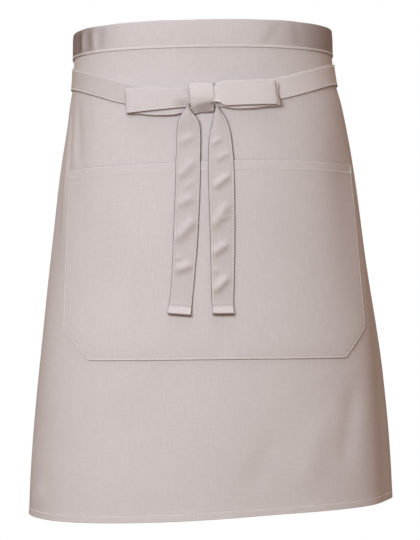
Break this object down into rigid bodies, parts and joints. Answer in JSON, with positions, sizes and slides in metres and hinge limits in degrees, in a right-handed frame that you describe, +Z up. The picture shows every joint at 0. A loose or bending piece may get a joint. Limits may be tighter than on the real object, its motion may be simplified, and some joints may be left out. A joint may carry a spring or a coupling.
{
  "type": "waist apron",
  "caption": "Long waist apron for a baker, worn form: wrapped twill skirt open behind, wide divided front pocket, folded waistband and ties bowed in front.",
  "frame": {"origin": "the middle of the waist, level with the waistband's lower seam, where the body that wears it holds it up", "axes": "+Z is up, the front with the pocket and the bow faces -Y, +X is to the right of someone facing the apron"},
  "size_m": [0.4352, 0.2576, 0.572],
  "materials": {
    "skirt_twill": "matt cotton twill, pale grey beige",
    "band_twill": "matt cotton twill, folded and topstitched",
    "pocket_twill": "matt cotton twill patch, edge stitched",
    "tie_twill": "matt cotton twill tape, double and edge stitched"
  },
  "bodies": {
    "root": {"skirt_panel": "skirt_twill", "waistband": "band_twill", "pocket": "pocket_twill", "left_tie": "tie_twill", "right_tie": "tie_twill"}
  },
  "joints": []
}
